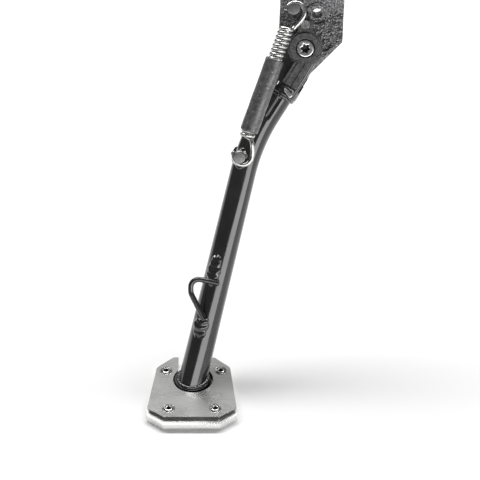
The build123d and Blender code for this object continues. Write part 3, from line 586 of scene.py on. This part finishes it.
def beadShell(u, v, length, width, height, seed, rows=60, turns=96):
    # an oval laid on the tube: a plateau that falls away at its rim as 1 - rho^6, with ripples and pits
    look = weldLook
    (few, fewDepth), (many, manyDepth) = look["fewLobes"], look["manyLobes"]
    (rippleDepth, rippleRate), (pitDepth, pitAlong, pitAcross) = look["ripple"], look["pits"]
    s0, angle0 = placeOnLeg(u, v)
    rho = np.linspace(look["inmost"], 1, rows)[:, None]
    phi = np.linspace(0, 2 * np.pi, turns, endpoint=False)[None, :]
    edge = 1 + fewDepth * np.sin(few * phi + seed) + manyDepth * np.sin(many * phi + 2 * seed)
    along, across = rho * edge * length / 2 * np.cos(phi), rho * edge * width / 2 * np.sin(phi)
    ripple = rippleDepth * np.sin(rippleRate * along + across ** 2 / width)
    ripple = ripple + pitDepth * waves(along * pitAlong, across * pitAcross, seed)
    rise = height * (1 - rho ** 6) * (1 + look["relief"] * ripple) - look["rimSunk"] * rho ** 6
    top = legPoint(s0 + along, angle0 + across / legRadius(s0), rise)
    inAlong, inAcross = along[::-1] * look["underShare"], across[::-1] * look["underShare"]
    under = legPoint(s0 + inAlong, angle0 + inAcross / legRadius(s0), -look["underDeep"] + 0 * rise[::-1])
    return shell(np.vstack([top, under]))


makePiece("loopWelds", [beadShell(*weldLook["upper"]), beadShell(*weldLook["lower"])],
          "leg", weldBlack, ["loop_welds"])


def ringBead(s, rise, size, pitch, seed, rows=20):
    # a rope of weld round the tube: a small circle carried round it, its size swelling once for each ripple
    ripple, uneven, tubeWaves, ropeWaves = weldLook["rope"]
    psi = np.linspace(0, 2 * np.pi, rows, endpoint=False)[:, None]
    lumps = uneven * waves(ringAngle * tubeWaves, psi * ropeWaves, seed)
    swell = size * (1 + ripple * np.abs(np.sin(pitch * ringAngle)) + lumps)
    net = legPoint(s + swell * np.cos(psi), ringAngle + 0 * psi, rise + swell * np.sin(psi))
    return shell(net, wrapRows=True)


ringAngle = np.linspace(0, 2 * np.pi, weldLook["ringTurns"], endpoint=False)[None, :]
collarRun, *collarShape = weldLook["collar"]
makePiece("collarWeld", [ringBead(collarRun - leg["start"], *collarShape)],
          "leg", weldBlack, ["collar_weld"])
footHeight, *footShape = weldLook["foot"]
footRun = levelReach(ringAngle, ground + mm * footHeight) - weldLook["footInset"]
makePiece("footWeld", [ringBead(footRun, *footShape)], "leg", weldBlack, ["foot_weld"])

# spring posts: turned pins, with levels along the pivot's direction
postLook = {
    "upper": (-11.98, 37.97), "lower": (-63.9, -104.3), "base": 5.4, "neck": 3.2, "head": 5.65,
    "headLow": 32.2, "headHigh": 35.2,
    "upperFoot": 2.0, "upperBase": 11.0, "lowerFoot": 5.0, "lowerBase": 12.9,
    "cone": 2.7, "rounding": 0.55, "cornerSteps": 6, "crownRadius": 0.4, "crownRise": 0.08,
}


def postNet(place, foot, base):
    # shank, cone, neck and flat head with rounded corners, turned about the post's own line
    look = postLook
    line = softCorners([(look["base"], foot), (look["base"], base), (look["neck"], base + look["cone"]),
                        (look["neck"], look["headLow"]), (look["head"], look["headLow"]),
                        (look["head"], look["headHigh"]),
                        (look["crownRadius"], look["headHigh"] + look["crownRise"])],
                       look["rounding"], look["cornerSteps"])
    return turnedNet(line, swingPoint(*place, 0.0), outward, rearward)


makePiece("lowerPost", [shell(postNet(postLook["lower"], postLook["lowerFoot"], postLook["lowerBase"]))],
          "leg", postSteel, ["lower_spring_post"])
makePiece("upperPost", [shell(postNet(postLook["upper"], postLook["upperFoot"], postLook["upperBase"]))],
          "bracket", postSteel, ["upper_spring_post"])


skirt = {
    # inner radius, reach, longer reach below and its turn, height, and how far down the leg the post is
    "inner": 5.2, "spread": 3.1, "longer": 5.2, "turn": 0.25, "height": 2.8, "run": 80.0,
    # lobes and waves of the rim and of the top: how many or how fast, and how deep
    "rimLobes": (7, 0.5), "rimWaves": (5, 3, 0.4), "rimSeed": 6,
    "topLobes": (5, 0.6), "topWaves": (0.8, 0.5), "topSeed": 9, "sunk": 0.4, "deep": 2.0,
    "rows": 16, "turns": 120,
}


def postWeldShell():
    # a lumpy skirt where the post stands on the tube: its foot follows the tube's skin
    look = skirt
    (rimLobes, rimDeep), (rimRound, rimOut, rimUneven) = look["rimLobes"], look["rimWaves"]
    (topLobes, topDeep), (topRate, topUneven) = look["topLobes"], look["topWaves"]
    phi = np.linspace(0, 2 * np.pi, look["turns"], endpoint=False)[None, :]
    t = np.linspace(0, 1, look["rows"])[:, None]
    below = np.maximum(-np.sin(phi - look["turn"]), 0) ** 2
    rim = rimUneven * waves(phi * rimRound, t * rimOut, look["rimSeed"])
    spread = look["spread"] + look["longer"] * below + rimDeep * np.sin(rimLobes * phi) + rim
    reach = look["inner"] + spread * t
    u = postLook["lower"][0] + reach * np.cos(phi)
    v = postLook["lower"][1] + reach * np.sin(phi)
    u0, v0, lean = legLine(look["run"])
    away = (u - u0) * math.cos(float(lean)) - (v - v0) * math.sin(float(lean))
    skin = np.sqrt(np.maximum(leg["radius"] ** 2 - away ** 2, 1.0))
    lumps = 1 + topUneven * waves(u * topRate, v * topRate, look["topSeed"])
    rise = (look["height"] + topDeep * np.sin(topLobes * phi)) * (1 - t ** 3) * lumps - look["sunk"] * t
    top = swingPoint(u, v, skin + rise)
    under = swingPoint(u, v, np.maximum(skin - look["deep"], look["deep"]))[::-1]
    return shell(np.vstack([top, under]), wrapRows=True)


makePiece("postWeld", [postWeldShell()], "leg", weldBlack, ["post_weld"])
print("welds and posts ready")

# return spring: hook, coil, hook
spring = {
    "lean": 20.05, "level": 29.6, "wire": 2.0, "coil": 5.5, "turns": 26, "hook": 9.0, "side": 2.6,
    "reach": 19.5, "centre": 2.34, "lead": 2.0, "tip": 1.0, "around": 20,
    # points along each hook, turn and lead, and how far a lead keeps to the coil's way and the hook's
    "hookSteps": 60, "turnSteps": 30, "leadSteps": 26, "coilEase": 2.3, "hookEase": 16,
}
springAcross, springUp = leanWays(math.radians(spring["lean"]))
springFoot = np.array(postLook["lower"])
springRun = float(np.linalg.norm(np.array(postLook["upper"]) - springFoot))


def springPoint(across, out, along):
    # millimetres from the lower post: across the spring, outward, and along it
    u = springFoot[0] + across * springAcross[0] + along * springUp[0]
    v = springFoot[1] + across * springAcross[1] + along * springUp[1]
    return swingPoint(u, v, spring["level"] + out)


def easyCurve(start, startWay, end, endWay, steps):
    # a cubic between two points that leaves and arrives along given ways
    t = np.linspace(0, 1, steps)[1:-1, None]
    h = [2 * t ** 3 - 3 * t ** 2 + 1, t ** 3 - 2 * t ** 2 + t, -2 * t ** 3 + 3 * t ** 2, t ** 3 - t ** 2]
    return h[0] * start + h[1] * startWay + h[2] * end + h[3] * endWay


def wirePath():
    # (across, out, along) of the wire's middle: an arc about the lower post, a lead, a helix, a lead, an arc
    look = spring
    r, c, side, coilRadius = look["hook"], look["centre"], look["side"], look["coil"]
    a = np.linspace(math.pi - look["tip"] / r, 2 * math.pi + look["lead"] / r, look["hookSteps"])
    lowHook = np.stack([side + r * np.cos(a), 0 * a, c + r * np.sin(a)], 1)
    topHook = np.stack([side + r * np.cos(a), 0 * a, springRun - c - r * np.sin(a)], 1)[::-1]
    coilRun = springRun - 2 * look["reach"]
    b = np.linspace(0, 2 * math.pi * look["turns"], look["turnSteps"] * look["turns"])
    climb = look["reach"] + coilRun * b / b[-1]
    coil = np.stack([coilRadius * np.cos(b), -coilRadius * np.sin(b), climb], 1)
    rise = coilRun / look["turns"] / (2 * math.pi)
    coilWay = np.array([0, -coilRadius, rise]) * look["coilEase"]
    hookWay = look["hookEase"] * np.array([0, 0, 1.0])
    lowLead = easyCurve(lowHook[-1], hookWay, coil[0], coilWay, look["leadSteps"])
    topLead = easyCurve(coil[-1], coilWay, topHook[0], hookWay, look["leadSteps"])
    return np.vstack([lowHook, lowLead, coil, topLead, topHook])


def sweptNet(path, radius, side, turns, endRows=4, endDepth=0.35):
    # a circle carried along a path; side is the way its first point faces, made square to the path;
    # at the ends the circle shrinks as a quarter of an ellipse that is endDepth of its radius deep
    way = np.gradient(path, axis=0)
    way /= np.linalg.norm(way, axis=1)[:, None]
    side = side - (side * way).sum(1)[:, None] * way
    side /= np.linalg.norm(side, axis=1)[:, None]
    other = np.cross(way, side)
    a = np.linspace(0, 2 * np.pi, turns, endpoint=False)[None, :, None]
    ring = np.cos(a) * side[:, None] + np.sin(a) * other[:, None]
    t = np.linspace(0, np.pi / 2, endRows)
    ends = []
    for at, sign in ((0, -1), (-1, 1)):
        grow = radius * np.cos(t)[:, None, None] * ring[at][None]
        ends.append(path[at] + sign * radius * np.sin(t)[:, None, None] * way[at] * endDepth + grow)
    body = path[:, None] + radius * ring
    return np.vstack([ends[0][:0:-1], body, ends[1][1:]])


def springSide(path):
    # out from the coil's middle where it winds, and from the hook's middle where it hooks
    across, along = path[:, 0], path[:, 2]
    low, high = along < spring["centre"], along > springRun - spring["centre"]
    middle = np.where(low, spring["centre"], np.where(high, springRun - spring["centre"], along))
    return np.stack([across - spring["side"] * (low | high), path[:, 1], along - middle], 1)


wire = wirePath()
wireNet = sweptNet(wire, spring["wire"], springSide(wire), spring["around"])
makePiece("returnSpring", [shell(springPoint(wireNet[..., 0], wireNet[..., 1], wireNet[..., 2]))],
          "spring", springZinc, ["return_spring"])

# the rubber sleeve, drawn over the coil and showing it faintly
sleeve = {
    "start": 26.6, "length": 74.0, "inside": 7.9, "outside": 9.1, "rows": 300, "turns": 96, "boreRows": 12,
    # how far the skin may sink, the coil's and the wandering's shares of that, and the wandering's waves
    "swell": 0.12, "coilShare": 0.15, "wanderShare": 0.85, "wanderAlong": 0.35, "wanderRound": 2, "seed": 5,
    "lip": 0.4, "lipRows": 4,
}


def sleeveNet():
    # outside skin swells once for each coil and wanders slowly; lips rounded; then back along the bore
    look = sleeve
    t = np.linspace(0, 1, look["rows"])
    pitch = (springRun - 2 * spring["reach"]) / spring["turns"]
    angle = np.linspace(0, 2 * np.pi, look["turns"], endpoint=False)[None, :]
    along = look["start"] + look["lip"] + (look["length"] - 2 * look["lip"]) * t[:, None]
    coilWave = np.cos(2 * np.pi * along / pitch + angle)
    wander = waves(along * look["wanderAlong"], angle * look["wanderRound"], look["seed"])
    swell = look["coilShare"] * coilWave + look["wanderShare"] * wander
    radius = look["outside"] - look["swell"] + look["swell"] * swell
    inFromEnd = np.minimum(np.minimum(t, 1 - t) * look["rows"] / look["lipRows"], 1)[:, None]
    outer = np.stack([radius - look["lip"] * (1 - inFromEnd) ** 2 + 0 * angle, along + 0 * angle], -1)
    boreAlong = look["start"] + look["length"] * np.linspace(1, 0, look["boreRows"])[:, None]
    bore = np.stack([look["inside"] + 0 * boreAlong + 0 * angle, boreAlong + 0 * angle], -1)
    net = np.vstack([outer, bore])
    return springPoint(net[..., 0] * np.cos(angle), net[..., 0] * np.sin(angle), net[..., 1])


makePiece("springSleeve", [shell(sleeveNet(), wrapRows=True)],
          "spring", sleeveRubber, ["spring_sleeve"])
print("spring ready")

# kick loop: one bent wire with both ends in their welds
kick = {
    "corners": [(-84.5, -230.8), (-112.2, -224.9), (-112.2, -240.5), (-98.8, -267.6)], "bends": (8.0, 13.0),
    "level": 16.4, "wire": 2.75, "steps": 150, "turns": 40,
}


def roundedLine(corners, radii, steps=24):
    # straight runs joined by true arcs; an arc starts radius / tan(half the corner's angle) from the corner
    corners = np.asarray(corners, float)
    pieces = [corners[:1]]
    for before, corner, after, radius in zip(corners[:-2], corners[1:-1], corners[2:], radii):
        a = (before - corner) / np.linalg.norm(before - corner)
        b = (after - corner) / np.linalg.norm(after - corner)
        half = math.acos(float(a @ b)) / 2
        middle = corner + (a + b) / np.linalg.norm(a + b) * radius / math.sin(half)
        start, end = corner + a * radius / math.tan(half), corner + b * radius / math.tan(half)
        w0, w1 = start - middle, end - middle
        t = np.linspace(0, 1, steps)[:, None]
        turn = math.pi - 2 * half
        pieces.append(middle + (np.sin((1 - t) * turn) * w0 + np.sin(t * turn) * w1) / math.sin(turn))
    return np.vstack(pieces + [corners[-1:]])


def evenSteps(line, count):
    # the same line with evenly spaced points
    run = np.concatenate([[0], np.cumsum(np.linalg.norm(np.diff(line, axis=0), axis=1))])
    t = np.linspace(0, run[-1], count)
    return np.stack([np.interp(t, run, line[:, i]) for i in range(line.shape[1])], 1)


kickLine = evenSteps(roundedLine(kick["corners"], kick["bends"]), kick["steps"])
kickPath = swingPoint(kickLine[:, 0], kickLine[:, 1], kick["level"])
kickSide = np.broadcast_to(outward, kickPath.shape)
kickNet = sweptNet(kickPath / mm, kick["wire"], kickSide, kick["turns"]) * mm
makePiece("kickLoop", [shell(kickNet)], "leg", legBlack, ["kick_loop"])
print("kick loop ready")

# pivot bolt, with a six-lobed recess in its head
bolt = {
    # radius, level and rounding of each corner from the threaded end to the flat of the head
    "corners": [(1.5, -22.5), (6.0, -22.5), (6.0, 13.0), (8.5, 13.0), (8.5, 18.6), (4.75, 18.6)],
    "rounding": [0.8, 0.3, 0.35, 3.5],
    # radius, level and lobe height of each row of the recess
    "recess": [(4.0, 18.5, 0.66), (3.7, 18.2, 0.7), (3.6, 13.4, 0.7), (3.2, 13.1, 0.6), (0.6, 12.6, 0.0)],
    "lobes": 6, "lobeTurn": 0.9, "cornerSteps": 10, "turns": 144,
}


def boltNet():
    # radius + lobe * cos(lobes * angle), carried round the pivot's line
    outside = softCorners(bolt["corners"], np.array(bolt["rounding"]), bolt["cornerSteps"])
    rows = np.vstack([np.column_stack([outside, 0 * outside[:, 0]]), bolt["recess"]])
    angle = np.linspace(0, 2 * np.pi, bolt["turns"], endpoint=False)
    radius = rows[:, 0:1] + rows[:, 2:3] * np.cos(bolt["lobes"] * angle + bolt["lobeTurn"])
    return swingPoint(radius * np.cos(angle), radius * np.sin(angle), rows[:, 1:2] + 0 * angle)


def shadeRecess(piece, shells, net, recessRows, material):
    # painted shade for the recess: a dark finish on the last rows of each shell and the fan that closes them
    rows, turns = net.shape[:2]
    band = np.repeat(np.arange(rows - 1) >= rows - 1 - recessRows, turns)
    one = np.concatenate([band, np.zeros(turns, bool), np.ones(turns, bool)])
    piece.data.materials.append(material)
    piece.data.polygons.foreach_set("material_index", np.tile(one, shells).astype(np.int32))


pivotBolt = makePiece("pivotBolt", [shell(boltNet())], "bracket", zincPlate, ["pivot_bolt"])
# the bolt's recess gets its painted shade
shadeRecess(pivotBolt, 1, boltNet(), len(bolt["recess"]) - 1, recessPaintedShade)

# plate screws: a seat ring, a low dome and a hexagon socket
screw = {
    # radius and level of each corner, the thread's end first, and the rounding of each
    "corners": [(0.8, -9.5), (3.0, -9.5), (3.0, -3.1), (6.1, -0.1), (5.6, -0.05), (5.2, -1.3), (4.7, -1.3),
                (4.6, 0.1), (3.5, 0.9), (2.5, 1.0)],
    "rounding": [0.4, 0.3, 0.15, 0.2, 0.15, 0.2, 0.3, 0.9], "cornerSteps": 6,
    "socket": [(2.3, 0.8), (2.2, -1.6), (0.3, -2.0)], "turns": 96,
    # places across and along the foot, the head's radius, the cover's level, turns of the sockets
    "rear": (27.8, 10.6), "front": (23.0, -45.5), "head": 6.2, "level": 12.0, "turn": 0.4, "nextTurn": 1.7,
}
screwLow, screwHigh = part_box("plate_screws")
footX = (screwLow.x + screwHigh.x) / 2
footY = screwHigh.y - mm * (screw["rear"][1] + screw["head"])
coverTop = ground + mm * screw["level"]
screwPlaces = [(side * x, y) for x, y in (screw["rear"], screw["front"]) for side in (1, -1)]


def screwNet(x, y, turn):
    # rows of the profile; the socket's rows are hexagons, radius * cos 30 / cos(angle within one side)
    outside = softCorners(screw["corners"], np.array(screw["rounding"]), screw["cornerSteps"])
    rows = np.vstack([outside, screw["socket"]])
    angle = np.linspace(0, 2 * np.pi, screw["turns"], endpoint=False)
    side = math.radians(60.0)
    hexagon = 1.0 / np.cos((angle + turn) % side - side / 2)
    inSocket = (np.arange(len(rows)) >= len(outside))[:, None]
    radius = rows[:, 0:1] * np.where(inSocket, hexagon, 1.0)
    centre = np.array([footX + mm * x, footY + mm * y, coverTop])
    ring = np.stack([radius * np.cos(angle), radius * np.sin(angle), rows[:, 1:2] + 0 * angle], -1)
    return centre + mm * ring


screwNets = [screwNet(x, y, screw["turn"] + screw["nextTurn"] * i) for i, (x, y) in enumerate(screwPlaces)]
plateScrews = makePiece("plateScrews", [shell(net) for net in screwNets],
                        "leg", screwSteel, ["plate_screws"])
# the screws' sockets get their painted shade
shadeRecess(plateScrews, len(screwNets), screwNets[0], len(screw["socket"]) - 1, recessPaintedShade)
print("bolt and screws ready")

# finishes for the pieces that keep their machined shape
edges = {"join": 1e-6, "segments": 2, "least": 35.0}   # merging distance in metres; least angle in degrees
kept = {
    # piece: finish, width of its rounded edges in millimetres
    "frame_bracket": (castGrey, 1.2), "leg_head": (forgedBlack, 1.5), "pivot_nut": (zincPlate, 0.4),
    "pivot_bush": (bronzeBush, 0.2), "thrust_washers": (zincPlate, 0.15), "switch_base": (switchNylon, 0.4),
    "switch_arm": (switchNylon, 0.45), "cable_gland": (glandRubber, 0.3), "tab_screw": (zincPlate, 0.35),
    "switch_key": (zincPlate, 0.3), "stand_foot": (legBlack, 0.8), "foot_base_plate": (satinAluminium, 0.7),
    "foot_cover_plate": (brushedSteel, 0.45),
}
for name, (material, edge) in kept.items():
    node = nodes[name]
    for slot in node.material_slots:
        slot.material = material
    weld = node.modifiers.new("weld", "WELD")
    weld.merge_threshold = edges["join"]
    bevel = node.modifiers.new("bevel", "BEVEL")
    bevel.width = mm * edge
    bevel.segments = edges["segments"]
    bevel.limit_method = "ANGLE"
    bevel.angle_limit = math.radians(edges["least"])
    bevel.harden_normals = True
print("finishes on")
